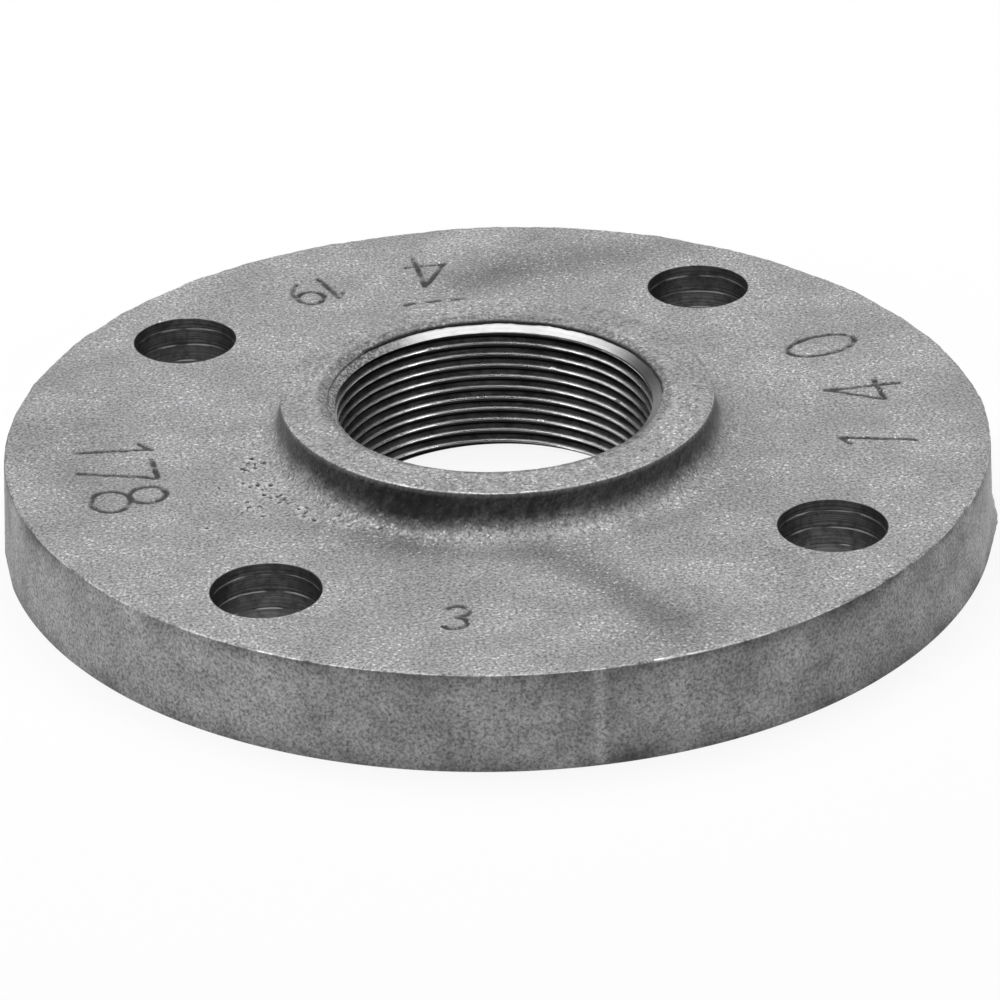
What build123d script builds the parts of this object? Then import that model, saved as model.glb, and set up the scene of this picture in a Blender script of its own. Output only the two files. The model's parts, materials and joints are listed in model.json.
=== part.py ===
from build123d import *
import math
import os

os.makedirs("parts", exist_ok=True)

# Reducing companion flange, one iron casting, in millimetres
# The origin is the centre of the machined gasket face and +Z points to the hub
inch = 25.4

# Drilling, that of the larger pipe size
bolt_circle_diameter = 5.5 * inch
bolt_hole_diameter = 0.75 * inch
bolt_count = 4
first_bolt_angle = 45.0

# Cast disc
rim_margin = 0.75 * inch  # from the bolt circle out to the rim, measured at the gasket face
flange_thickness = 18.0
rim_draft = 3.8  # degrees, the rim is narrower on the hub side
rim_edge_radius = 0.5
gasket_edge_chamfer = 0.2

# Cast hub
hub_projection = 7.6  # above the disc
hub_wall = 11.2  # from the drilled bore out to the hub's top edge
hub_draft = 4.0  # degrees
hub_fillet = 5.0
hub_edge_radius = 0.5

# Bore, drilled for the smaller pipe's taper thread
tap_drill_diameter = (2 + 3 / 16) * inch
exit_chamfer = 0.4
countersink_width = 2.1  # radial width of the machined countersink
countersink_angle = 120.0  # degrees, from side to side
mouth_step = 0.5  # height of the sharp step that the countersink leaves in the casting
mouth_bevel_width = 1.1  # radial width of the cast bevel above the step
mouth_bevel_depth = 0.7

# Derived sizes
bore_radius = tap_drill_diameter / 2
rim_radius = bolt_circle_diameter / 2 + rim_margin
rim_top_radius = rim_radius - flange_thickness * math.tan(math.radians(rim_draft))
hub_top = flange_thickness + hub_projection
hub_top_radius = bore_radius + hub_wall
hub_base_radius = hub_top_radius + hub_projection * math.tan(math.radians(hub_draft))
countersink_radius = bore_radius + countersink_width
step_top = hub_top - mouth_bevel_depth
countersink_top = step_top - mouth_step
bore_top = countersink_top - countersink_width / math.tan(math.radians(countersink_angle / 2))
mouth_radius = countersink_radius + mouth_bevel_width

with BuildPart() as flange:
    # Half section of the casting with its bore, turned about the pipe axis
    with BuildSketch(Plane.XZ):
        with BuildLine():
            Polyline(
                (bore_radius + exit_chamfer, 0),
                (rim_radius, 0),
                (rim_top_radius, flange_thickness),
                (hub_base_radius, flange_thickness),
                (hub_top_radius, hub_top),
                (mouth_radius, hub_top),
                (countersink_radius, step_top),
                (countersink_radius, countersink_top),
                (bore_radius, bore_top),
                (bore_radius, exit_chamfer),
                close=True,
            )
        make_face()
    revolve(axis=Axis.Z)

    # Mould radii: the hub's root, then the outer edges of the rim and the hub
    circles = flange.edges().filter_by(GeomType.CIRCLE)
    gasket_circles = circles.filter_by_position(Axis.Z, -0.01, 0.01).sort_by(SortBy.RADIUS)
    disc_circles = circles.filter_by_position(
        Axis.Z, flange_thickness - 0.01, flange_thickness + 0.01
    ).sort_by(SortBy.RADIUS)
    hub_circles = circles.filter_by_position(Axis.Z, hub_top - 0.01, hub_top + 0.01).sort_by(SortBy.RADIUS)
    fillet(disc_circles[0], hub_fillet)
    fillet(disc_circles[-1], rim_edge_radius)
    fillet(hub_circles[-1], hub_edge_radius)
    chamfer(gasket_circles[-1], gasket_edge_chamfer)

    # Bolt holes, drilled right through the disc
    with PolarLocations(bolt_circle_diameter / 2, bolt_count, start_angle=first_bolt_angle):
        Hole(bolt_hole_diameter / 2)

flange.part.label = "flange"
export_step(flange.part, "parts/flange.step")
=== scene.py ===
import json
import math
import random

import bmesh
import bpy
import numpy as np
from mathutils import Matrix, Vector, kdtree, noise
from mathutils.geometry import delaunay_2d_cdt


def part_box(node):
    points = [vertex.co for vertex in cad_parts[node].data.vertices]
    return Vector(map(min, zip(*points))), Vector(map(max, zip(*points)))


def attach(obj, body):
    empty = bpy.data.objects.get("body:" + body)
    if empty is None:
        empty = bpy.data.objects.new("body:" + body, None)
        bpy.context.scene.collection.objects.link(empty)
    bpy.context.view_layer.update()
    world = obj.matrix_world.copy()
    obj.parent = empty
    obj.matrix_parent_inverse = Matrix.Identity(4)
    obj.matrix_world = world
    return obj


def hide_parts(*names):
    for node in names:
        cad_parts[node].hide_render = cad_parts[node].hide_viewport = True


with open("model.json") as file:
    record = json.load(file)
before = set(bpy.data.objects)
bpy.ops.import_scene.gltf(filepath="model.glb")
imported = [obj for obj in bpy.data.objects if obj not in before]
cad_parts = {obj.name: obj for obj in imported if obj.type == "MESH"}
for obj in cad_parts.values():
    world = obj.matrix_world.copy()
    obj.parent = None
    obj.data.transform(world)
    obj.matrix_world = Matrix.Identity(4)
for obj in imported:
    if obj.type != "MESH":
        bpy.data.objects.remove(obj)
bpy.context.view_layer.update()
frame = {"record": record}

# Sizes are in millimetres until the mesh is made, and the main ones come from the frame

mm = 0.001
mounts = {mount["name"]: mount for mount in frame["record"]["mounts"]}
cadLow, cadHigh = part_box("flange")

flangeSizes = {
    "rimRadius": cadHigh.x / mm,  # widest, just above the gasket face
    "height": cadHigh.z / mm,
    "discThickness": mounts["nut_face"]["pos_m"][2] / mm,
    "boltCircle": mounts["bolt_circle"]["dims"]["pcd_mm"] / 2,
    "boltHole": mounts["bolt_circle"]["dims"]["hole_r_mm"],
    "boltCount": mounts["bolt_circle"]["dims"]["count"],
    "firstBoltAngle": 45.0,
    "rimDraft": 3.8,
    "rimEdge": 0.5,  # radius of the rim's upper edge
    "gasketEdge": 0.2,
    "hubTop": mounts["pipe_thread"]["dims"]["r_mm"] + 11.2,
    "hubDraft": 4.0,
    "hubFillet": 5.0,
    "hubEdge": 0.5,
    "countersink": mounts["pipe_thread"]["dims"]["r_mm"] + 2.1,
    "bevelWidth": 1.1,  # of the cast bevel outside the countersink
    "bevelDepth": 0.7,
    "mouthStep": 0.5,  # sharp step between the bevel and the countersink
    "holeEdge": 0.12,
    "holeLedge": 0.08,  # left by the drill where it was lifted
    "firstLedge": 2.1,  # below the disc's top
    "ledgeSpacing": 3.3,
}
sinkLevel = flangeSizes["height"] - flangeSizes["bevelDepth"] - flangeSizes["mouthStep"]

threadSizes = {
    "pitch": 25.4 / 11.5,
    "crest": 28.4,  # crest radius at the hub's top
    "depth": 1.5,
    "crestFlat": 0.12,
    "crestEdge": 0.12,  # rise of the small worn chamfer above it
    "taper": 1 / 32,  # radius lost for each millimetre down
    "firstCrest": 0.86,  # height of a crest at angle 0
    "countersinkFall": math.tan(math.radians(30)),  # fall for each millimetre inward
    "exit": mounts["pipe_thread"]["dims"]["r_mm"] + 0.4,
    "tear": 0.05,  # roughness of the cut crests
    "leadIn": 0.75,  # plain height below the countersink's edge
    "leadLength": 0.5,  # height over which the thread reaches its depth
}

meshDetail = {
    "rimColumns": 720,
    "boreColumns": 360,
    "holeColumns": 96,
    "faceSpacing": 0.78,
    "gasketSpacing": 4.0,
    "markSpacing": 0.34,
    "seed": 7,
}


pitSizes = {
    "depth": 0.42,
    "radius": (0.18, 0.52),
    "clusters": [  # centre, spread, count
        ((-45.4, -3.8), 1.9, 13),
        ((-43.0, -10.0), 2.2, 9),
        ((-42.3, -18.2), 1.9, 15),
        ((-38.6, -22.9), 1.8, 11),
        ((-32.9, -27.6), 2.0, 12),
        ((-49.0, -14.0), 6.0, 14),
        ((-27.0, -34.5), 2.6, 8),
    ],
}

# Each surface is a patch, and all patches are welded into one closed mesh

finishes = ["castSkin", "cutThread", "brightCountersink", "drilledWall", "turnedFace"]
patches = []


def addPatch(points, faces, finish):
    patches.append({"points": np.asarray(points, float), "faces": faces, "finish": finish})


def ring(radius, height, count, centre=(0.0, 0.0)):
    angles = np.arange(count) * 2 * np.pi / count
    radii = np.broadcast_to(radius, count)
    across = centre[0] + radii * np.cos(angles)
    along = centre[1] + radii * np.sin(angles)
    return np.column_stack((across, along, np.full(count, height)))


def spin(profile, columns, finish, centre=(0.0, 0.0)):
    points = np.vstack([ring(radius, height, columns, centre) for radius, height in profile])
    faces = []
    for row in range(len(profile) - 1):
        low = row * columns
        for column in range(columns):
            after = (column + 1) % columns
            faces.append((low + column, low + after, low + columns + after, low + columns + column))
    addPatch(points, faces, finish)


def straight(start, end, count):
    return [tuple(Vector(start).lerp(Vector(end), step / count)) for step in range(1, count + 1)]


def arc(centre, radii, fromDegrees, toDegrees, count):
    points = []
    for step in range(count + 1):
        angle = math.radians(fromDegrees + (toDegrees - fromDegrees) * step / count)
        points.append((centre[0] + radii[0] * math.cos(angle), centre[1] + radii[1] * math.sin(angle)))
    return points


def rimProfile():
    sizes = flangeSizes
    slope = math.tan(math.radians(sizes["rimDraft"]))
    gasketRadius = sizes["rimRadius"] + sizes["gasketEdge"] * slope
    topRadius = gasketRadius - sizes["discThickness"] * slope
    edge = sizes["rimEdge"]
    reach = edge * math.tan(math.radians((90 - sizes["rimDraft"]) / 2))
    corner = arc((topRadius - reach, sizes["discThickness"] - edge), (edge, edge), 90, sizes["rimDraft"], 4)
    foot = (sizes["rimRadius"], sizes["gasketEdge"])
    return corner + straight(corner[-1], foot, 15) + [(gasketRadius - sizes["gasketEdge"], 0.0)]


def hubProfile():
    sizes = flangeSizes
    disc, top, step = sizes["discThickness"], sizes["height"], sizes["countersink"]
    draft, fillet, edge = sizes["hubDraft"], sizes["hubFillet"], sizes["hubEdge"]
    halfCorner = math.tan(math.radians((90 - draft) / 2))
    baseRadius = sizes["hubTop"] + (top - disc) * math.tan(math.radians(draft))
    root = arc((baseRadius + fillet * halfCorner, disc + fillet), (fillet, fillet), 270, 180 + draft, 9)
    shoulder = arc((sizes["hubTop"] - edge * halfCorner, top - edge), (edge, edge), draft, 90, 4)
    width, depth = sizes["bevelWidth"], sizes["bevelDepth"]
    land = straight(shoulder[-1], (step + width + 0.4, top), 9)
    bevel = [(step + width, top - 0.12), (step + width / 2, top - depth * 0.5)]
    bevel += [(step + 0.1, top - depth + 0.04), (step, top - depth - 0.1)]
    bevel += [(step, sinkLevel + 0.06), (step, sinkLevel)]
    return root + straight(root[-1], shoulder[0], 3) + shoulder[1:] + land + bevel


# The taper thread is a grid whose rows climb with the helix

def threadForm():
    sizes = threadSizes
    flat, edge, slope = sizes["crestFlat"], sizes["crestEdge"], math.tan(math.radians(30))
    wornAndHighlight = edge * slope / sizes["depth"]
    flank = sizes["depth"] * slope
    # Rise above a crest's upper side, share of the depth
    upper = (edge + flank * (1 - wornAndHighlight), 1.0)
    return [(-flat, 0.0), (0.0, 0.0), (edge, wornAndHighlight), upper, (sizes["pitch"] - flat - flank, 1.0)]


def cutByCone(heights, radii, coneRadii):
    # A cone that cuts the thread; points beside each crossing slide onto it
    gaps = radii - coneRadii
    cutHeights, cutRadii = heights.copy(), np.maximum(radii, coneRadii)
    for row in np.flatnonzero((gaps[1:] < 0) != (gaps[:-1] < 0)):
        share = gaps[row] / (gaps[row] - gaps[row + 1])
        moved = row + 1 if gaps[row + 1] < 0 else row
        cutHeights[moved] = heights[row] + (heights[row + 1] - heights[row]) * share
        cutRadii[moved] = radii[row] + (radii[row + 1] - radii[row]) * share
    return cutHeights, cutRadii


def threadColumn(share):
    sizes = threadSizes
    full = flangeSizes["height"]
    angle = 2 * math.pi * share
    heights, radii = [], []
    for turn in range(-2, int(full / sizes["pitch"]) + 2):
        for rise, deep in threadForm():
            height = sizes["firstCrest"] + sizes["pitch"] * (turn + share) + rise
            started = min(1.0, max(0.0, (sinkLevel - sizes["leadIn"] - height) / sizes["leadLength"]))
            radius = sizes["crest"] - (full - height) * sizes["taper"] + deep * started * sizes["depth"]
            where = Vector((math.cos(angle) * radius, math.sin(angle) * radius, height))
            radius += sizes["tear"] * (1 - deep) * noise.noise(where * 0.9)
            heights.append(height)
            radii.append(radius)
    heights, radii = np.array(heights), np.array(radii)
    sink = flangeSizes["countersink"] - (sinkLevel - heights) / sizes["countersinkFall"]
    heights, radii = cutByCone(heights, radii, sink)
    heights, radii = cutByCone(heights, radii, sizes["exit"] - heights)
    exitRadius = np.interp(0.0, heights, radii)
    radii = np.where(heights > sinkLevel, flangeSizes["countersink"], radii)
    radii = np.where(heights < 0, exitRadius, radii)
    return np.clip(heights, 0.0, sinkLevel), radii


def makeThread():
    columns = meshDetail["boreColumns"]
    grid, exitRadii = [], []
    for column in range(columns + 1):
        heights, radii = threadColumn(column / columns)
        angle = 2 * math.pi * column / columns
        grid.append(np.column_stack((radii * math.cos(angle), radii * math.sin(angle), heights)))
        exitRadii.append(radii[0])
    rows = len(grid[0])
    threadFaces, sinkFaces = [], []
    for column in range(columns):
        for row in range(rows - 1):
            start = column * rows + row
            corners = (start, start + rows, start + rows + 1, start + 1)
            middle = grid[column][row:row + 2].mean(axis=0)
            sinkRadius = flangeSizes["countersink"] - (sinkLevel - middle[2]) / threadSizes["countersinkFall"]
            onSink = abs(math.hypot(middle[0], middle[1]) - sinkRadius) < 0.02
            (sinkFaces if onSink else threadFaces).append(corners)
    points = np.vstack(grid)
    addPatch(points, threadFaces, "cutThread")
    addPatch(points, sinkFaces, "brightCountersink")
    return np.array(exitRadii[:columns])


def holeCentres():
    sizes = flangeSizes
    centres = []
    for hole in range(sizes["boltCount"]):
        angle = math.radians(sizes["firstBoltAngle"] + 360 / sizes["boltCount"] * hole)
        centres.append((sizes["boltCircle"] * math.cos(angle), sizes["boltCircle"] * math.sin(angle)))
    return centres


def makeHoleWall(centre):
    sizes = flangeSizes
    radius, edge, top = sizes["boltHole"], sizes["holeEdge"], sizes["discThickness"]
    profile = [(radius + edge, top), (radius, top - edge)]
    level = top - sizes["firstLedge"]
    while level > 1:
        lip = radius - sizes["holeLedge"]
        profile += [(radius, level + 0.12), (lip, level), (lip, level - 0.22), (radius, level - 0.34)]
        level -= sizes["ledgeSpacing"]
    profile += [(radius, edge), (radius + edge, 0.0)]
    spin(profile, meshDetail["holeColumns"], "drilledWall", centre)


# Plain numbers cut in the disc: sizes of the flange in millimetres, and its count of holes

digitStrokes = {
    "0": [arc((0, 0.5), (0.27, 0.5), 0, 360, 30)],
    "1": [[(-0.12, 0.84), (0.05, 1), (0.05, 0)]],
    "3": [arc((-0.02, 0.75), (0.25, 0.25), 150, -90, 18), arc((-0.02, 0.25), (0.28, 0.25), 90, -150, 18)],
    "4": [[(0.14, 0), (0.14, 1), (-0.28, 0.3), (0.3, 0.3)]],
    "7": [[(-0.27, 1), (0.28, 1), (-0.1, 0)]],
    "8": [arc((0, 0.76), (0.23, 0.24), 0, 360, 24), arc((0, 0.26), (0.28, 0.26), 0, 360, 24)],
    "9": [arc((0, 0.72), (0.26, 0.28), 0, 360, 24), arc((-0.2, 0.72), (0.46, 0.72), 0, -70, 10)],
}

markSizes = {
    "halfWidth": 0.8,
    "depth": 0.45,
    "rows": (0.0, -0.36, 0.36, -0.78, 0.78),  # of vertices beside a stroke
    "wobble": 0.22,
    "middle": 68.6,  # radius of the ring of marks
    "marks": [  # digit, angle, height
        ("1", 173.0, 13.5), ("7", 180.5, 13.5), ("8", 189.0, 13.5),
        ("1", -17.0, 13.8), ("4", -0.5, 13.8), ("0", 16.5, 13.8),
        ("4", 89.5, 13.0),
        ("1", 106.0, 9.5), ("9", 110.6, 9.5),
        ("3", -106.7, 7.6),
    ],
    "scratch": [(-6.5, 54.7), (-4.6, 55.3), (-2.0, 55.2), (0.4, 55.3), (2.6, 55.1), (4.6, 55.2), (6.6, 54.9)],
}


def markLines():
    lines = []
    for digit, angle, height in markSizes["marks"]:
        outward = Vector((math.cos(math.radians(angle)), math.sin(math.radians(angle))))
        up = -outward  # tops point to the hub
        right = Vector((up.y, -up.x))
        foot = outward * markSizes["middle"] - up * height / 2
        for corners in digitStrokes[digit]:
            lines.append([foot + right * x * height + up * y * height for x, y in corners])
    corners = [Vector(corner) for corner in markSizes["scratch"]]
    return lines + [corners[first:first + 2] for first in range(0, len(corners) - 1, 2)]


def pointsAlong(line, spacing):
    points = []
    for start, end in zip(line, line[1:]):
        count = max(1, round((end - start).length / spacing))
        side = Vector((start.y - end.y, end.x - start.x)).normalized()
        for step in range(count + 1):
            point = start.lerp(end, step / count)
            shift = noise.noise(Vector((point.x, point.y, 3.0)) * 0.35)
            points.append((point + side * shift * markSizes["wobble"], side))
    return points


def thinOut(points, least):
    cells, kept = {}, []
    for point in points:
        cell = (int(point.x // least), int(point.y // least))
        near = [cells.get((cell[0] + i, cell[1] + j), []) for i in (-1, 0, 1) for j in (-1, 0, 1)]
        if all((point - other).length > least for group in near for other in group):
            cells.setdefault(cell, []).append(point)
            kept.append(point)
    return kept


def pointTree(points):
    tree = kdtree.KDTree(len(points))
    for index, point in enumerate(points):
        tree.insert((point.x, point.y, 0.0), index)
    tree.balance()
    return tree


# The two flat faces are filled between their rings

def insideRing(points, ringPoints, centre):
    count = len(ringPoints)
    angle = np.arctan2(points[:, 1] - centre[1], points[:, 0] - centre[0]) % (2 * np.pi)
    first = (angle / (2 * np.pi) * count).astype(int) % count
    start = ringPoints[first]
    edge = ringPoints[(first + 1) % count] - start
    return edge[:, 0] * (points[:, 1] - start[:, 1]) - edge[:, 1] * (points[:, 0] - start[:, 0]) > 0


def spreadPoints(inner, outer, spacing):
    holes = holeCentres()
    holeRadius = flangeSizes["boltHole"] + flangeSizes["holeEdge"]
    margin = spacing * 0.55
    reach = int(outer / spacing) + 1
    spread = []
    for row in range(-int(reach * 1.2), int(reach * 1.2) + 1):
        for column in range(-reach, reach + 1):
            x = (column + 0.5 * (row % 2) + random.uniform(-0.12, 0.12)) * spacing
            y = (row * math.sqrt(3) / 2 + random.uniform(-0.12, 0.12)) * spacing
            clear = inner + margin < math.hypot(x, y) < outer - margin
            if clear and all(math.hypot(x - hx, y - hy) > holeRadius + margin for hx, hy in holes):
                spread.append(Vector((x, y)))
    return spread


def fillFace(outerRadius, innerRadius, height, extraPoints, finish):
    detail = meshDetail
    holeRadius = flangeSizes["boltHole"] + flangeSizes["holeEdge"]
    outer = ring(outerRadius, 0, detail["rimColumns"])[:, :2]
    inner = [(ring(innerRadius, 0, detail["boreColumns"])[:, :2], (0.0, 0.0))]
    for centre in holeCentres():
        inner.append((ring(holeRadius, 0, detail["holeColumns"], centre)[:, :2], centre))
    points, edges = [], []
    for ringPoints in [outer] + [ringPoints for ringPoints, _ in inner]:
        start, count = len(points), len(ringPoints)
        points += [Vector(point) for point in ringPoints]
        edges += [(start + index, start + (index + 1) % count) for index in range(count)]
    filled, _, triangles, _, _, _ = delaunay_2d_cdt(points + extraPoints, edges, [], 0, 1e-7)
    flat = np.array([tuple(point) for point in filled])
    triangles = np.array(triangles)
    middles = flat[triangles].mean(axis=1)
    keep = insideRing(middles, outer, (0.0, 0.0))
    for ringPoints, centre in inner:
        keep &= ~insideRing(middles, ringPoints, centre)
    faces = [tuple(int(corner) for corner in triangle) for triangle in triangles[keep]]
    addPatch(np.column_stack((flat, np.full(len(flat), height))), faces, finish)


def discPoints(outerRadius, innerRadius):
    spacing = meshDetail["faceSpacing"]
    fine = []
    for row in markSizes["rows"]:
        for line in markLines():
            fine += [point + side * row for point, side in pointsAlong(line, meshDetail["markSpacing"])]
    for spot, size in pits:
        fine.append(spot)
        for share, count in ((0.5, 6), (1.0, 10), (1.45, 12)):
            radii = (size * share, size * share)
            fine += [spot + Vector(point) for point in arc((0, 0), radii, 0, 360 - 360 / count, count - 1)]
    fine = [point for point in fine if point.length > innerRadius + 0.3]
    fine = thinOut(fine, 0.17)
    tree = pointTree(fine)
    coarse = spreadPoints(innerRadius, outerRadius, spacing)
    coarse = [point for point in coarse if tree.find((point.x, point.y, 0.0))[2] > spacing * 0.55]
    return coarse + fine


def makePits():
    placed = []
    for centre, spread, count in pitSizes["clusters"]:
        for _ in range(count):
            spot = Vector((random.gauss(centre[0], spread), random.gauss(centre[1], spread)))
            placed.append((spot, random.uniform(*pitSizes["radius"])))
    return placed


random.seed(meshDetail["seed"])
pits = makePits()
rim = rimProfile()
hub = hubProfile()
spin(rim, meshDetail["rimColumns"], "castSkin")
spin(hub, meshDetail["boreColumns"], "castSkin")
exitRadii = makeThread()
for centre in holeCentres():
    makeHoleWall(centre)
fillFace(rim[0][0], hub[0][0], flangeSizes["discThickness"], discPoints(rim[0][0], hub[0][0]), "castSkin")
gasketPoints = spreadPoints(exitRadii.max(), rim[-1][0], meshDetail["gasketSpacing"])
fillFace(rim[-1][0], exitRadii, 0.0, gasketPoints, "turnedFace")
print("patches made:", len(patches), "with", sum(len(patch["faces"]) for patch in patches), "faces")


def weldPatches():
    points = np.vstack([patch["points"] for patch in patches])
    faces, finishOf, start = [], [], 0
    for patch in patches:
        faces += [tuple(start + corner for corner in face) for face in patch["faces"]]
        finishOf += [finishes.index(patch["finish"])] * len(patch["faces"])
        start += len(patch["points"])
    mesh = bpy.data.meshes.new("flangeCasting")
    mesh.from_pydata(points.tolist(), [], faces)
    mesh.polygons.foreach_set("material_index", finishOf)
    work = bmesh.new()
    work.from_mesh(mesh)
    bmesh.ops.remove_doubles(work, verts=work.verts, dist=1e-4)
    bmesh.ops.dissolve_degenerate(work, edges=work.edges, dist=1e-5)
    bmesh.ops.delete(work, geom=[vert for vert in work.verts if not vert.link_faces], context="VERTS")
    bmesh.ops.recalc_face_normals(work, faces=work.faces)
    openEdges = sum(1 for edge in work.edges if len(edge.link_faces) != 2)
    work.to_mesh(mesh)
    work.free()
    triangles = sum(len(polygon.vertices) - 2 for polygon in mesh.polygons)
    print("welded:", len(mesh.vertices), "vertices,", triangles, "triangles,", openEdges, "open edges")
    return mesh


# Sand-cast relief, moved along the cast faces' own normals

castRelief = {
    "swells": [(26.0, 0.10), (6.5, 0.055), (1.7, 0.04)],  # size across, height
    "rimEdgeReach": 1.3,
    "rimEdgeWobble": 0.26,
    "torn": (-78.0, 6.0, 1.6),  # a rougher stretch of that edge: angle, spread, extra wobble
    "hubEdgeReach": 0.9,
    "hubEdgeWobble": 0.2,
    "mouthWobble": 0.16,
    "seamAngle": -90.2,  # where the mould's halves met
    "seamWidth": 2.0,
    "seamHeight": 0.14,
    "hubShift": (0.5, -0.1, 0.0),  # the cast hub stands a little off the bore's axis
    "flash": (-13.0, 5.0, 3.0, 0.95),  # a tongue left low on the rim: angle, spread, height, rise
    "outOfRound": [  # angle, spread, rise
        (-12, 26, 1.05), (-70, 40, 0.4), (176, 18, 0.45), (93, 9, -0.8), (112, 16, -0.5),
    ],
}

# Soft patches painted on the cast face: painted shade and painted reflections of the dark surroundings, and
# the one at the hub's front left is its painted shadow; the two with strength below 0 are painted light
paintedShadePatches = [  # centre, length, width, angle, strength
    ((-1.0, -49.0), 15.0, 8.0, -42.0, 0.22),
    ((7.0, -58.5), 23.0, 9.0, -60.0, 0.42),
    ((14.0, -77.0), 21.0, 15.0, -82.0, 0.36),
    ((12.0, 63.5), 25.0, 11.0, 20.0, 0.30),
    ((27.0, 66.0), 40.0, 19.0, 6.0, 0.32),
    ((-77.0, 8.0), 50.0, 20.0, 88.0, 0.20),
    ((-25.0, -38.5), 20.0, 12.0, -38.0, 0.42),
    ((38.0, -33.0), 22.0, 14.0, 60.0, 0.14),
    ((38.0, -60.0), 15.0, 9.0, 90.0, 0.10),
    ((34.0, 31.0), 18.0, 9.0, -48.0, 0.14),
    ((11.0, 81.0), 12.0, 9.0, 0.0, -0.25),
    ((28.0, -63.0), 24.0, 15.0, -70.0, -0.08),
]


def castDirections(mesh):
    faceCount, pointCount = len(mesh.polygons), len(mesh.vertices)
    loopCorner = np.empty(len(mesh.loops), np.int32)
    counts, finishOf = np.empty(faceCount, np.int32), np.empty(faceCount, np.int32)
    normals, areas = np.empty(faceCount * 3, np.float32), np.empty(faceCount, np.float32)
    mesh.loops.foreach_get("vertex_index", loopCorner)
    mesh.polygons.foreach_get("loop_total", counts)
    mesh.polygons.foreach_get("material_index", finishOf)
    mesh.polygons.foreach_get("normal", normals)
    mesh.polygons.foreach_get("area", areas)
    isCast = finishOf == finishes.index("castSkin")
    loopFace = np.repeat(np.arange(faceCount), counts)
    pull = np.zeros((pointCount, 3))
    np.add.at(pull, loopCorner, (normals.reshape(-1, 3) * (areas * isCast)[:, None])[loopFace])
    castCount, machinedCount = np.zeros(pointCount), np.zeros(pointCount)
    np.add.at(castCount, loopCorner, isCast[loopFace])
    np.add.at(machinedCount, loopCorner, ~isCast[loopFace])
    lengths = np.linalg.norm(pull, axis=1)
    pull[lengths > 0] /= lengths[lengths > 0][:, None]
    return pull, castCount > 0, machinedCount > 0


def nearness(distance, reach):
    return max(0.0, 1 - distance / reach) ** 2


def turnsApart(first, second):
    return (first - second + 180) % 360 - 180


def paintedPatchShade(point):
    # Painted shade and painted light from the patches above
    ragged = 1 + 0.35 * noise.noise(point * 0.09) + 0.2 * noise.noise(point * 0.3)
    shade = 0.0
    for centre, length, width, angle, strength in paintedShadePatches:
        away = Matrix.Rotation(-math.radians(angle), 2) @ (point.xy - Vector(centre))
        shade += strength * math.exp(-((2 * away.x / length) ** 2 + (2 * away.y / width) ** 2) * ragged)
    return shade


def hubPaintedShade(point, radius):
    # Painted shade on the hub's side and root, partly dark scale, spilling out at the front left as the hub's
    # painted shadow
    angle = math.degrees(math.atan2(point.y, point.x))
    shadowSpill = math.exp(-((turnsApart(angle, -126.0) / 17) ** 2))
    reach = 40.5 + 1.8 * shadowSpill + 0.4 * noise.noise(point / 2.5) + 0.3 * noise.noise(point / 0.8)
    inside = min(1.0, max(0.0, (reach - radius) / (1.2 + 1.2 * shadowSpill)))
    inside *= min(1.0, (flangeSizes["height"] - point.z) / 0.8)
    dark = 0.86 - 0.3 * min(1.0, max(0.0, (abs(turnsApart(angle, -101.0)) - 55) / 30))
    # A soft darker ring round the root at the front, and painted light on the fillet just in front of the hub
    rootRing = 0.17 * math.exp(-(((radius - 46.5) / 3.0) ** 2) - (turnsApart(angle, -91.0) / 65) ** 2)
    rootRing -= 0.27 * math.exp(-(((radius - 41.7) / 1.1) ** 2) - (turnsApart(angle, -80.0) / 42) ** 2)
    return inside * dark * (1 + 0.2 * noise.noise(point / 0.9)) + rootRing + 0.05 * (radius < 39)


def hubMove(radius):
    weight = min(1.0, max(0.0, (radius - 33) / 4)) * min(1.0, max(0.0, (52 - radius) / 6))
    return Vector(castRelief["hubShift"]) * weight


def castSwell(point):
    return sum(height * (noise.noise(point / size) - 0.35) for size, height in castRelief["swells"])


def pitAt(point):
    # Above 0 in a pit, below 0 on its raised lip
    _, index, away = pitTree.find((point.x, point.y, 0.0))
    share = away / pits[index][1] * (1 + 0.5 * noise.noise(point / 0.35))
    return max(0.0, 1 - share ** 2) - 0.3 * math.exp(-(((share - 1.3) / 0.3) ** 2))


def mouthSlide(outward):
    around = outward * flangeSizes["countersink"]
    wave = 0.3 + noise.noise(around / 3.5) + 0.7 * noise.noise(around / 1.2)
    return castRelief["mouthWobble"] * max(0.0, wave)


def rimShift(point, radius):
    angle = math.degrees(math.atan2(point.y, point.x))
    rise = sum(size * math.exp(-((turnsApart(angle, middle) / spread) ** 2))
               for middle, spread, size in castRelief["outOfRound"])
    upward = 0.6 + 0.4 * point.z / flangeSizes["discThickness"]
    return rise * upward * min(1.0, max(0.0, (radius - 80) / 6))


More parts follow.
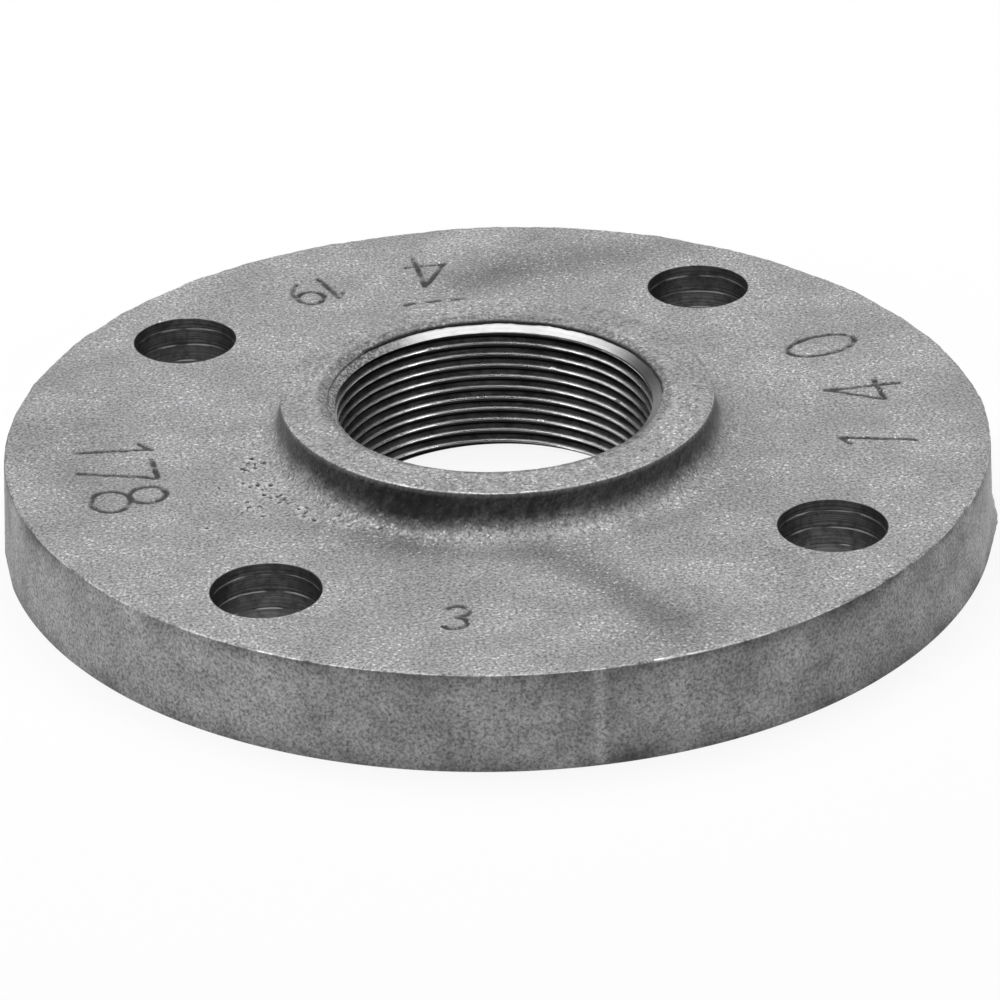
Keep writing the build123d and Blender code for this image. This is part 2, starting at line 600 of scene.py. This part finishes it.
def carveRim(point, radius):
    # The rim's relief and painted colour: a seam, painted shade in bands by both edges, and mottling between
    # them
    relief, disc = castRelief, flangeSizes["discThickness"]
    seam = math.radians(relief["seamAngle"])
    seamWay = Vector((math.cos(seam), math.sin(seam)))
    aside = abs(seamWay.cross(point.xy)) if seamWay.dot(point.xy) > 0 else radius
    inSeam = min(1.0, max(0.0, (relief["seamWidth"] / 2 - aside) / 0.35 + 0.5))
    besideSeam = math.exp(-(((aside - relief["seamWidth"] / 2 - 0.8) / 0.8) ** 2))
    # Painted shade in a band under the top edge and another by the foot, above the table
    edgeShadeBands = 0.46 * math.exp(-(((disc - 0.7 - point.z) / 0.9) ** 2))
    edgeShadeBands += 0.12 * math.exp(-(((disc - 3.0 - point.z) / 2.5) ** 2)) + 0.3 * math.exp(-((point.z / 2.4) ** 2))
    ragged = 1 + 0.8 * noise.noise(point / 7.0) + 0.5 * noise.noise(point / 2.2)
    mottle = 0.22 * noise.noise(point / 7.0) + 0.2 * noise.noise(point / 2.4)
    angle = math.degrees(math.atan2(point.y, point.x))
    # Painted light on the rim's left, painted shade at its right front, and less of the bands' painted shade
    # at the far right
    left = math.exp(-((turnsApart(angle, -140.0) / 26) ** 2))
    shade = edgeShadeBands * ragged + mottle - 0.3 * inSeam + 0.1 * besideSeam - 0.25 * left + 0.12
    shade += 0.07 * math.exp(-((turnsApart(angle, -60.0) / 22) ** 2))
    shade -= 0.3 * math.exp(-((turnsApart(angle, -12.0) / 14) ** 2))
    middle, spread, height, rise = relief["flash"]
    flash = math.exp(-((turnsApart(angle, middle) / spread) ** 2) - (point.z / height) ** 2)
    flash *= rise * (1 + 0.5 * noise.noise(point / 1.6))
    return relief["seamHeight"] * inSeam + flash, shade - 0.15 * flash


def edgeWearAndHighlight(point, rimReach, hubReach):
    # Bright worn metal along the knocked edges with a painted highlight, strongest at the front
    angle = math.degrees(math.atan2(point.y, point.x))
    front = 0.25 + 0.75 * math.exp(-((turnsApart(angle, -98.0) / 60) ** 2))
    bright = 0.95 + 0.25 * (hubReach > 0) + 1.5 * noise.noise(point / 4.0) + 1.2 * noise.noise(point / 1.1)
    return min(1.0, max(0.0, bright * front)) * max(0.0, max(rimReach, hubReach) - 0.5) * 2


def carveCasting(mesh):
    sizes, relief = flangeSizes, castRelief
    directions, isCast, isMachined = castDirections(mesh)
    coordinates = np.empty(len(mesh.vertices) * 3, np.float32)
    mesh.vertices.foreach_get("co", coordinates)
    coordinates = coordinates.reshape(-1, 3)
    cuts, wornAndHighlight, shades = (np.zeros(len(coordinates)) for _ in range(3))
    markMachined(coordinates, cuts, wornAndHighlight, shades)
    tree = pointTree([point for line in markLines() for point, _ in pointsAlong(line, 0.1)])
    rimCorner, hubCorner = (Vector(max(profile, key=sum)) for profile in (rim, hub))
    disc = sizes["discThickness"]
    for index in np.flatnonzero(isCast):
        point = Vector(coordinates[index].tolist())
        radius = math.hypot(point.x, point.y)
        outward = Vector((point.x, point.y, 0)) / radius
        angle = math.degrees(math.atan2(point.y, point.x))
        if disc + 1 < point.z and radius < sizes["countersink"] + 0.15:
            # The countersink's ragged edge slides along its cone and takes the step with it
            climb = threadSizes["countersinkFall"] * (point.z < sinkLevel + 0.1)
            coordinates[index] = point + (outward + Vector((0, 0, climb))) * mouthSlide(outward)
            # Painted shade on the step's wall, darkest at the far side of the bore
            if not isMachined[index]:
                shades[index] = 0.94 if abs(turnsApart(angle, 60)) < 72 else 0.35
            continue
        if isMachined[index]:
            if point.z > 1:
                point.z += castSwell(point)
            coordinates[index] = point + outward * rimShift(point, radius)
            continue
        section = Vector((radius, point.z))
        rimReach = nearness((section - rimCorner).length, relief["rimEdgeReach"])
        hubReach = nearness((section - hubCorner).length, relief["hubEdgeReach"])
        middle, spread, extra = relief["torn"]
        torn = math.exp(-((turnsApart(angle, middle) / spread) ** 2))
        jagged = noise.noise(point / 9.0) + (0.7 + extra * torn) * noise.noise(point / 1.9) - 0.6
        moved = castSwell(point) * min(1.0, point.z / 2) + relief["rimEdgeWobble"] * rimReach * jagged
        moved += relief["hubEdgeWobble"] * hubReach * (noise.noise(point / 1.6) - 0.5)
        wornAndHighlight[index] = edgeWearAndHighlight(point, rimReach, hubReach)
        if radius > rim[0][0] + 0.1:
            raised, shade = carveRim(point, radius)
            moved += raised
            shades[index] = shade
        elif point.z < disc + 0.3:
            toStroke = tree.find((point.x, point.y, 0.0))[2]
            fade = 0.75 + 0.5 * noise.noise(point / 1.8)
            cuts[index] = fade * max(0.0, 1 - (toStroke / markSizes["halfWidth"]) ** 2)
            moved -= markSizes["depth"] * cuts[index]
            pit = pitAt(point)
            moved -= pitSizes["depth"] * pit
            cuts[index] = max(cuts[index], 1.1 * pit)
            wornAndHighlight[index] = max(wornAndHighlight[index], -1.6 * pit)
        if point.z > disc - 0.5:
            # Painted shade and painted light from the patches and round the hub, and a darker rough ring on
            # the mouth's bevel
            shades[index] += paintedPatchShade(point)
            if radius > 33:
                shades[index] += hubPaintedShade(point, radius)
            elif radius < sizes["countersink"] + 1.9:
                shades[index] += 0.34 * (1 + 1.5 * noise.noise(point / 0.9))
        point += Vector(directions[index]) * moved + hubMove(radius)
        coordinates[index] = point + outward * rimShift(point, radius)
    coordinates = np.clip(coordinates, np.array(cadLow) / mm, np.array(cadHigh) / mm)
    mesh.vertices.foreach_set("co", coordinates.ravel() * mm)
    for name, values in (("cut", cuts), ("wornAndHighlight", wornAndHighlight), ("shade", shades)):
        mesh.attributes.new(name, "FLOAT", "POINT").data.foreach_set("value", np.clip(values, -1, 1))
    mesh.update()
    print("cast relief done,", int((cuts > 0.5).sum()), "vertices in cut strokes and scars")


def markMachined(coordinates, cuts, wornAndHighlight, shades):
    # Painted highlights on the thread's crests and painted shade in its roots, torn metal at the
    # countersink's left, and bright ledges that are fresh metal with a painted highlight
    sizes = threadSizes
    across, along, heights = coordinates.T
    radii = np.hypot(across, along)
    deep = (radii - sizes["crest"] + (flangeSizes["height"] - heights) * sizes["taper"]) / sizes["depth"]
    sink = sinkLevel - (flangeSizes["countersink"] - radii) * sizes["countersinkFall"]
    inBore = (radii < flangeSizes["countersink"] + 0.01) & (heights < sinkLevel + 0.01)
    inThread = inBore & (np.abs(heights - sink) > 0.02)
    # Painted shade, deepest in the roots
    shades[inThread] = np.clip(deep[inThread], 0, 1)
    angles = np.degrees(np.arctan2(along, across)) % 360
    climbed = (heights - sizes["firstCrest"] - sizes["pitch"] * angles / 360) % sizes["pitch"]
    # Painted highlight on the crests
    wornAndHighlight[inThread & ((climbed < sizes["crestEdge"] + 0.02) | (climbed > sizes["pitch"] - 0.02))] = 1
    left = np.abs(turnsApart(angles, 170.0))
    cuts[inBore] = (np.clip((62 - left) / 22, 0, 1) * (heights > sinkLevel - 1.3))[inBore]
    for x, y in holeCentres():
        ledges = np.hypot(across - x, along - y) < flangeSizes["boltHole"] - flangeSizes["holeLedge"] / 2
        waves = [noise.noise(Vector(spot) / 4) for spot in coordinates[ledges]]
        # Bright ledges: fresh metal with a painted highlight
        wornAndHighlight[ledges] = np.clip([0.76 + 0.9 * wave for wave in waves], 0, 1)


pitTree = pointTree([spot for spot, _ in pits])
casting = weldPatches()
carveCasting(casting)
casting.shade_smooth()
casting.set_sharp_from_angle(angle=math.radians(26))
flange = bpy.data.objects.new("flangeCasting", casting)
bpy.context.scene.collection.objects.link(flange)


# Shader groups that several finishes share

def addNode(tree, kind, **settings):
    node = tree.nodes.new(kind)
    for name, value in settings.items():
        setattr(node, name, value)
    return node


def setInputs(node, values):
    for name, value in values.items():
        node.inputs[name].default_value = value
    return node


def calculate(tree, operation, first, second, clamp=False):
    node = addNode(tree, "ShaderNodeMath", operation=operation, use_clamp=clamp)
    for socket, value in zip(node.inputs, (first, second)):
        if isinstance(value, (int, float)):
            socket.default_value = value
        else:
            tree.links.new(value, socket)
    return node.outputs[0]


def remap(tree, value, fromLow, fromHigh, toLow, toHigh):
    node = addNode(tree, "ShaderNodeMapRange", interpolation_type="SMOOTHSTEP")
    setInputs(node, {"From Min": fromLow, "From Max": fromHigh, "To Min": toLow, "To Max": toHigh})
    tree.links.new(value, node.inputs["Value"])
    return node.outputs["Result"]


def blendColours(tree, mask, first, second, kind="MIX"):
    node = addNode(tree, "ShaderNodeMix", data_type="RGBA", blend_type=kind)
    for socket, value in ((node.inputs[6], first), (node.inputs[7], second)):
        if isinstance(value, tuple):
            socket.default_value = (*value, 1)
        else:
            tree.links.new(value, socket)
    if isinstance(mask, (int, float)):
        node.inputs[0].default_value = mask
    else:
        tree.links.new(mask, node.inputs[0])
    return node.outputs[2]


def newGroup(name, inputs, outputs):
    group = bpy.data.node_groups.new(name, "ShaderNodeTree")
    for socketName, kind, value in inputs:
        socket = group.interface.new_socket(name=socketName, in_out="INPUT", socket_type=kind)
        if value is not None:
            socket.default_value = value
    for socketName in outputs:
        group.interface.new_socket(name=socketName, in_out="OUTPUT", socket_type="NodeSocketFloat")
    return group, addNode(group, "NodeGroupInput"), addNode(group, "NodeGroupOutput")


def makeIronGrain():
    group, given, made = newGroup(
        "ironGrain",
        [("Vector", "NodeSocketVector", None), ("Grains Per Metre", "NodeSocketFloat", 1900.0),
         ("Cloud Size", "NodeSocketFloat", 0.02)],
        ["Grit", "Glints", "Pores", "Clouds", "Height"],
    )
    grit = setInputs(addNode(group, "ShaderNodeTexNoise"), {"Detail": 2.5, "Roughness": 0.65})
    specks = setInputs(addNode(group, "ShaderNodeTexNoise"), {"Detail": 1.0, "Roughness": 0.5})
    dots = addNode(group, "ShaderNodeTexVoronoi")
    clouds = setInputs(addNode(group, "ShaderNodeTexNoise"), {"Detail": 5.0, "Roughness": 0.62})
    for texture in (grit, specks, dots, clouds):
        group.links.new(given.outputs["Vector"], texture.inputs["Vector"])
    for texture, share in ((grit, 1.0), (specks, 0.85), (dots, 0.7)):
        scale = calculate(group, "MULTIPLY", given.outputs["Grains Per Metre"], share)
        group.links.new(scale, texture.inputs["Scale"])
    group.links.new(calculate(group, "DIVIDE", 1.0, given.outputs["Cloud Size"]), clouds.inputs["Scale"])
    crowded = remap(group, clouds.outputs[0], 0.4, 0.6, 0.3, 1.0)
    spot = remap(group, dots.outputs["Distance"], 0.52, 0.25, 0.0, 1.0)
    glints = calculate(group, "MULTIPLY", remap(group, specks.outputs[0], 0.53, 0.60, 0.0, 1.0), spot)
    glints = calculate(group, "MULTIPLY", glints, crowded)
    pores = remap(group, specks.outputs[0], 0.36, 0.25, 0.0, 1.0)
    raised = calculate(group, "ADD", grit.outputs[0], calculate(group, "MULTIPLY", glints, 0.4))
    height = calculate(group, "SUBTRACT", raised, calculate(group, "MULTIPLY", pores, 0.4))
    for name, value in zip(("Grit", "Glints", "Pores", "Clouds", "Height"),
                           (grit.outputs[0], glints, pores, clouds.outputs[0], height)):
        group.links.new(value, made.inputs[name])
    return group


def makeToolMarks():
    group, given, made = newGroup(
        "toolMarks",
        [("Across", "NodeSocketFloat", 0.0), ("Vector", "NodeSocketVector", None),
         ("Lines Per Metre", "NodeSocketFloat", 4000.0), ("Breaks Per Metre", "NodeSocketFloat", 150.0)],
        ["Lines", "Height"],
    )
    lines = addNode(group, "ShaderNodeTexNoise", noise_dimensions="1D")
    setInputs(lines, {"Detail": 3.0, "Roughness": 0.7})
    breaks = setInputs(addNode(group, "ShaderNodeTexNoise"), {"Detail": 2.0})
    group.links.new(given.outputs["Across"], lines.inputs["W"])
    group.links.new(given.outputs["Lines Per Metre"], lines.inputs["Scale"])
    group.links.new(given.outputs["Vector"], breaks.inputs["Vector"])
    group.links.new(given.outputs["Breaks Per Metre"], breaks.inputs["Scale"])
    held = remap(group, breaks.outputs[0], 0.35, 0.6, 0.25, 1.0)
    sharp = remap(group, lines.outputs[0], 0.35, 0.65, 0.0, 1.0)
    group.links.new(calculate(group, "MULTIPLY", sharp, held), made.inputs["Lines"])
    group.links.new(lines.outputs[0], made.inputs["Height"])
    return group


ironGrain = makeIronGrain()
toolMarks = makeToolMarks()


def newMaterial(name, metallic, roughness):
    material = bpy.data.materials.new(name)
    material.use_nodes = True
    shader = material.node_tree.nodes["Principled BSDF"]
    setInputs(shader, {"Metallic": metallic, "Roughness": roughness})
    return material, material.node_tree, shader


def placeGroup(tree, group, point, values):
    node = setInputs(addNode(tree, "ShaderNodeGroup", node_tree=group), values)
    tree.links.new(point, node.inputs["Vector"])
    return node


def objectPoint(tree):
    return addNode(tree, "ShaderNodeTexCoord").outputs["Object"]


def attributeValue(tree, name):
    return addNode(tree, "ShaderNodeAttribute", attribute_name=name).outputs["Fac"]


def addBump(tree, shader, height, strength, distance):
    bump = setInputs(addNode(tree, "ShaderNodeBump"), {"Strength": strength, "Distance": distance})
    tree.links.new(height, bump.inputs["Height"])
    tree.links.new(bump.outputs["Normal"], shader.inputs["Normal"])


def distanceFromAxis(tree, point):
    flatten = addNode(tree, "ShaderNodeVectorMath", operation="MULTIPLY")
    flatten.inputs[1].default_value = (1, 1, 0)
    tree.links.new(point, flatten.inputs[0])
    length = addNode(tree, "ShaderNodeVectorMath", operation="LENGTH")
    tree.links.new(flatten.outputs[0], length.inputs[0])
    return length.outputs["Value"]


def heightOf(tree, point):
    split = addNode(tree, "ShaderNodeSeparateXYZ")
    tree.links.new(point, split.inputs[0])
    return split.outputs["Z"]


def greyOf(tree, value):
    grey = addNode(tree, "ShaderNodeCombineColor")
    for channel in ("Red", "Green", "Blue"):
        tree.links.new(value, grey.inputs[channel])
    return grey.outputs["Color"]


castSkinLook = {
    "dull": (0.278, 0.278, 0.281),
    "pale": (0.366, 0.366, 0.370),
    # Colour of the painted glints
    "paintedGlint": (0.80, 0.80, 0.81),
    "pore": (0.09, 0.09, 0.092),
    # Colour of worn edges and their painted highlight
    "wornAndHighlight": (0.88, 0.88, 0.885),
    "scale": (0.035, 0.035, 0.036),  # in the cut strokes
    "metallic": 0.25,
    "roughness": 0.6,
    "grainsPerMetre": 1900.0,
    "cloudSize": 0.016,
    "gritContrast": 3.4,
    "sideContrast": 3.0,
    "bumpStrength": 0.6,
    "bumpDistance": 0.0002,
}


def makeCastSkin():
    look = castSkinLook
    material, tree, shader = newMaterial("castSkin", look["metallic"], look["roughness"])
    values = {"Grains Per Metre": look["grainsPerMetre"], "Cloud Size": look["cloudSize"]}
    grain = placeGroup(tree, ironGrain, objectPoint(tree), values)
    clouds = remap(tree, grain.outputs["Clouds"], 0.3, 0.7, 0.0, 1.0)
    colour = blendColours(tree, clouds, look["dull"], look["pale"])
    normal = addNode(tree, "ShaderNodeTexCoord").outputs["Normal"]
    upward = remap(tree, heightOf(tree, normal), 0.2, 0.8, 0.0, 1.0)
    contrast = calculate(tree, "MULTIPLY", upward, look["gritContrast"] - look["sideContrast"])
    contrast = calculate(tree, "ADD", contrast, look["sideContrast"])
    centred = calculate(tree, "SUBTRACT", grain.outputs["Grit"], 0.5)
    grit = calculate(tree, "ADD", calculate(tree, "MULTIPLY", centred, contrast), 1.0)
    # Darker by the shade attribute: painted shade and painted reflections, with the rim's mottling and seam
    unshaded = calculate(tree, "SUBTRACT", 1.0, attributeValue(tree, "shade"))
    tone = greyOf(tree, calculate(tree, "MULTIPLY", grit, unshaded))
    colour = blendColours(tree, 1.0, colour, tone, "MULTIPLY")
    pores = calculate(tree, "MULTIPLY", grain.outputs["Pores"], 0.6)
    colour = blendColours(tree, pores, colour, look["pore"])
    # Painted glints, shown mostly on upward faces under the overhead lamp
    shown = calculate(tree, "MULTIPLY", unshaded, calculate(tree, "MAXIMUM", upward, 0.15))
    glints = calculate(tree, "MULTIPLY", grain.outputs["Glints"], shown)
    colour = blendColours(tree, glints, colour, look["paintedGlint"])
    # Worn edges and their painted highlight
    gritBreakup = remap(tree, grain.outputs["Grit"], 0.35, 0.55, 0.3, 1.0)
    wornAndHighlight = calculate(tree, "MULTIPLY", attributeValue(tree, "wornAndHighlight"), gritBreakup)
    colour = blendColours(tree, wornAndHighlight, colour, look["wornAndHighlight"])
    ragged = calculate(tree, "ADD", attributeValue(tree, "cut"), calculate(tree, "MULTIPLY", centred, 1.7))
    colour = blendColours(tree, remap(tree, ragged, 0.18, 0.75, 0.0, 1.0), colour, look["scale"])
    tree.links.new(colour, shader.inputs["Base Color"])
    metal = calculate(tree, "ADD", calculate(tree, "MULTIPLY", wornAndHighlight, 0.6), look["metallic"])
    tree.links.new(metal, shader.inputs["Metallic"])
    polish = calculate(tree, "MULTIPLY", calculate(tree, "ADD", glints, wornAndHighlight), 0.25)
    tree.links.new(calculate(tree, "SUBTRACT", look["roughness"], polish), shader.inputs["Roughness"])
    addBump(tree, shader, grain.outputs["Height"], look["bumpStrength"], look["bumpDistance"])
    return material


cutMetalLooks = {  # colour between lines, colour on lines, roughness, lines a metre, bump, line direction
    "cutThread": ((0.155, 0.155, 0.156), (0.31, 0.31, 0.31), 0.28, 5000.0, 0.3, heightOf),
    "brightCountersink": ((0.23, 0.23, 0.23), (0.35, 0.35, 0.35), 0.29, 7000.0, 0.12, distanceFromAxis),
    "drilledWall": ((0.125, 0.125, 0.126), (0.26, 0.26, 0.26), 0.42, 2600.0, 0.3, heightOf),
    "turnedFace": ((0.36, 0.36, 0.365), (0.58, 0.58, 0.585), 0.32, 1500.0, 0.5, distanceFromAxis),
}

cutMetalExtras = {
    # Fresh metal with a painted highlight, on crests and ledges
    "freshAndHighlight": (0.60, 0.60, 0.60),  # on crests and ledges
    # Painted shade in the thread's roots, and the dark of the mottling
    "scale": (0.02, 0.02, 0.02),  # in the roots
    "torn": (0.40, 0.40, 0.40),
    "tornPits": (0.09, 0.09, 0.09),
    "crestPolish": 0.03,
    "mottleSize": 0.0017,
    "mottle": 0.45,
}


def makeCutMetal(name):
    dull, bright, roughness, lineCount, bump, across = cutMetalLooks[name]
    extras = cutMetalExtras
    material, tree, shader = newMaterial(name, 1.0, roughness)
    point = objectPoint(tree)
    marks = placeGroup(tree, toolMarks, point, {"Lines Per Metre": lineCount})
    tree.links.new(across(tree, point), marks.inputs["Across"])
    values = {"Grains Per Metre": 2000.0, "Cloud Size": extras["mottleSize"]}
    grain = placeGroup(tree, ironGrain, point, values)
    colour = blendColours(tree, marks.outputs["Lines"], dull, bright)
    mottled = remap(tree, grain.outputs["Clouds"], 0.42, 0.66, 0.0, extras["mottle"])
    if name == "brightCountersink":
        mottled = calculate(tree, "MULTIPLY", mottled, 0.15)
    colour = blendColours(tree, mottled, colour, extras["scale"])
    # Painted glints
    colour = blendColours(tree, calculate(tree, "MULTIPLY", grain.outputs["Glints"], 0.25), colour, bright)
    # Painted shade in the thread's roots
    root = remap(tree, attributeValue(tree, "shade"), 0.62, 0.96, 0.0, 0.97)
    colour = blendColours(tree, root, colour, extras["scale"])
    torn = attributeValue(tree, "cut")
    speckle = remap(tree, grain.outputs["Grit"], 0.42, 0.6, 0.0, 1.0)
    colour = blendColours(tree, torn, colour, blendColours(tree, speckle, extras["tornPits"], extras["torn"]))
    # Painted highlight on crests and ledges, partly fresh metal
    shine = remap(tree, attributeValue(tree, "wornAndHighlight"), 0.7, 0.97, 0.0, 1.0)
    colour = blendColours(tree, shine, colour, extras["freshAndHighlight"])
    tree.links.new(colour, shader.inputs["Base Color"])
    rough = calculate(tree, "MULTIPLY", grain.outputs["Clouds"], 0.12)
    rough = calculate(tree, "ADD", rough, roughness - 0.03)
    rough = calculate(tree, "ADD", calculate(tree, "MULTIPLY", torn, 0.3), rough)
    rough = calculate(tree, "SUBTRACT", rough, calculate(tree, "MULTIPLY", shine, extras["crestPolish"]))
    tree.links.new(rough, shader.inputs["Roughness"])
    metal = calculate(tree, "SUBTRACT", 1.0, calculate(tree, "MULTIPLY", torn, 0.75))
    tree.links.new(metal, shader.inputs["Metallic"])
    addBump(tree, shader, marks.outputs["Height"], bump, 0.00004)
    return material


for finish in finishes:
    casting.materials.append(makeCastSkin() if finish == "castSkin" else makeCutMetal(finish))
print("finishes made:", len(casting.materials))

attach(flange, "root")
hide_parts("flange")


# The studio: a white table, one wide lamp overhead, and dim walls that are white low down

studio = {
    "floorSize": 8.0,
    "floorColour": (0.88, 0.88, 0.88),
    "floorGlow": 0.88,
    "lampSize": (1.3, 0.9),
    "lampPlace": (-0.05, 0.30, 1.0),
    "lampPower": 14.0,
    "sideLampSize": 0.34,
    "sideLampPlaces": [(-1.02, -0.37, 0.51), (0.81, -0.72, 0.51)],
    "sideLampPower": 2.4,
    "wallDim": 0.03,
}


def whenSeen(tree):
    path = addNode(tree, "ShaderNodeLightPath")
    seen = calculate(tree, "MAXIMUM", path.outputs["Is Camera Ray"], path.outputs["Is Glossy Ray"])
    return calculate(tree, "MAXIMUM", seen, path.outputs["Is Transmission Ray"])


def makeTable():
    half, level = studio["floorSize"] / 2, -0.00005
    corners = [(-half, -half, level), (half, -half, level), (half, half, level), (-half, half, level)]
    mesh = bpy.data.meshes.new("tableTop")
    mesh.from_pydata(corners, [], [(0, 1, 2, 3)])
    table = bpy.data.objects.new("tableTop", mesh)
    bpy.context.scene.collection.objects.link(table)
    material, tree, shader = newMaterial("tableWhite", 0.0, 0.9)
    setInputs(shader, {"Base Color": (*studio["floorColour"], 1), "Specular IOR Level": 0.0})
    glow = setInputs(addNode(tree, "ShaderNodeEmission"), {"Color": (1, 1, 1, 1), "Strength": 1.0})
    mix = addNode(tree, "ShaderNodeMixShader")
    tree.links.new(calculate(tree, "MULTIPLY", whenSeen(tree), studio["floorGlow"]), mix.inputs[0])
    tree.links.new(shader.outputs[0], mix.inputs[1])
    tree.links.new(glow.outputs[0], mix.inputs[2])
    tree.links.new(mix.outputs[0], tree.nodes["Material Output"].inputs["Surface"])
    mesh.materials.append(material)


def makeLamp(name, size, place, power):
    light = bpy.data.lights.new(name, "AREA")
    light.shape = "RECTANGLE"
    light.size, light.size_y = size
    light.energy = power
    lamp = bpy.data.objects.new(name, light)
    lamp.location = place
    bpy.context.scene.collection.objects.link(lamp)
    return lamp


def makeLamps():
    makeLamp("softboxOverhead", studio["lampSize"], studio["lampPlace"], studio["lampPower"])
    for name, place in zip(("leftLamp", "rightLamp"), studio["sideLampPlaces"]):
        lamp = makeLamp(name, (studio["sideLampSize"],) * 2, place, studio["sideLampPower"])
        lamp.rotation_euler = Vector(place).to_track_quat("Z", "Y").to_euler()


def makeWalls():
    world = bpy.data.worlds.new("studioWalls")
    bpy.context.scene.world = world
    world.use_nodes = True
    tree = world.node_tree
    direction = addNode(tree, "ShaderNodeTexCoord").outputs["Generated"]
    paleLow = remap(tree, heightOf(tree, direction), 0.15, 0.45, 1.0, studio["wallDim"])
    strength = addNode(tree, "ShaderNodeMix", data_type="FLOAT")
    tree.links.new(whenSeen(tree), strength.inputs[0])
    strength.inputs[2].default_value = studio["wallDim"]
    tree.links.new(paleLow, strength.inputs[3])
    tree.links.new(strength.outputs[0], tree.nodes["Background"].inputs["Strength"])
    tree.nodes["Background"].inputs["Color"].default_value = (1, 1, 1, 1)


cameraView = {
    "around": -10.81,  # degrees
    "above": 28.004,
    "roll": -1.273,
    "distance": 0.82048,
    "aim": (0.000562, -0.012294, 0.010),
    "lens": 165.646,
    "sensor": 36.0,
}


def makeCamera():
    view = cameraView
    data = bpy.data.cameras.new("photoCamera")
    data.sensor_width = view["sensor"]
    data.lens = view["lens"]
    data.clip_start = 0.01
    camera = bpy.data.objects.new("photoCamera", data)
    camera.matrix_world = (
        Matrix.Rotation(math.radians(view["around"]), 4, "Z")
        @ Matrix.Translation(view["aim"])
        @ Matrix.Rotation(math.radians(90 - view["above"]), 4, "X")
        @ Matrix.Rotation(math.radians(view["roll"]), 4, "Z")
        @ Matrix.Translation((0, 0, view["distance"]))
    )
    bpy.context.scene.collection.objects.link(camera)
    bpy.context.scene.camera = camera


makeTable()
makeLamps()
makeWalls()
makeCamera()
bpy.context.scene.view_settings.view_transform = "Standard"
print("studio and camera placed")
